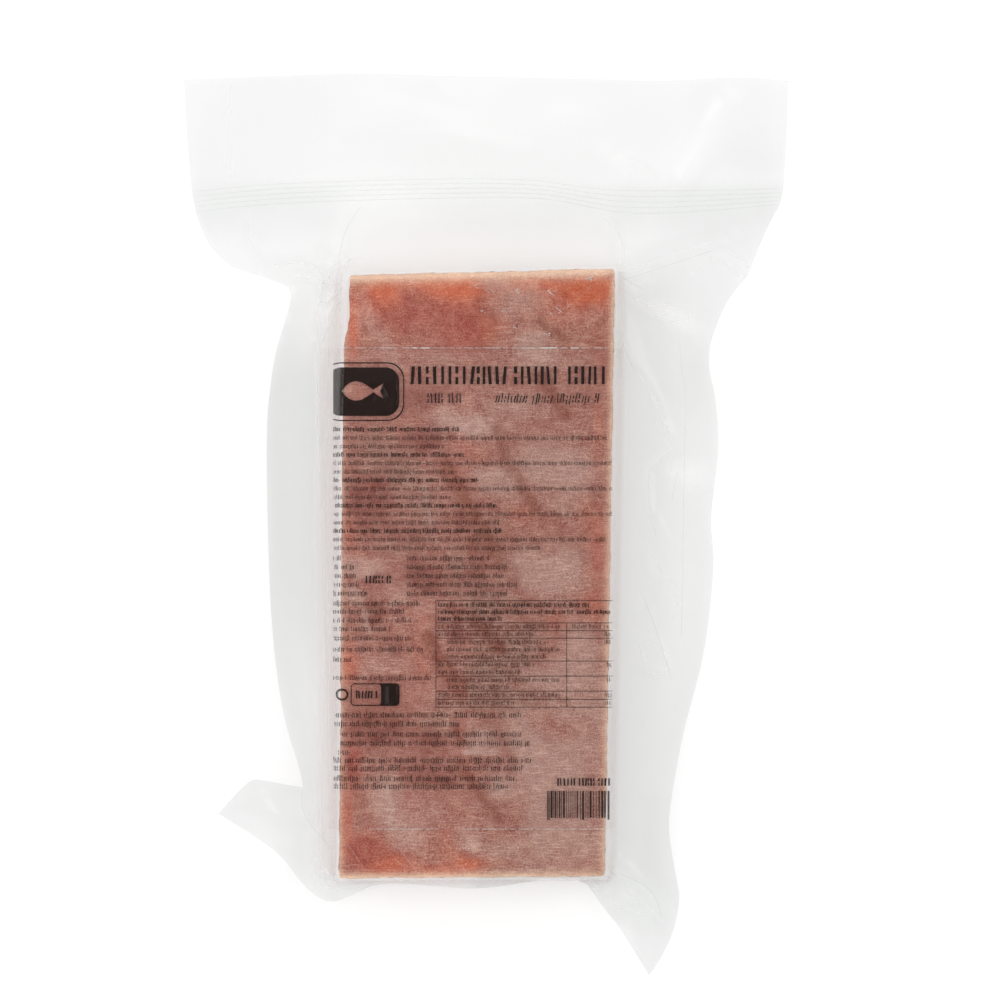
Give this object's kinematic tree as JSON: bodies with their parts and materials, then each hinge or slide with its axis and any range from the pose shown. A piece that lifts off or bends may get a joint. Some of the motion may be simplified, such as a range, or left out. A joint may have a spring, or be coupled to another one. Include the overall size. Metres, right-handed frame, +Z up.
{
  "type": "vacuum-packed frozen tuna loin",
  "caption": "Frozen tuna loin block in a shut clear vacuum pouch with a printed label, lying flat with the label side up.",
  "frame": {"origin": "on the table, under the middle of the pouch's outline", "axes": "+X to the pouch's right, +Y along its length towards the mouth, +Z up out of the label"},
  "size_m": [0.1774, 0.2651, 0.0211],
  "materials": {
    "film": "clear vacuum film",
    "label_film": "clear printed film",
    "loin": "frosted raw fish",
    "ink": "black print"
  },
  "bodies": {
    "root": {"vacuum_bag": "film", "label": "label_film"}
  },
  "joints": []
}
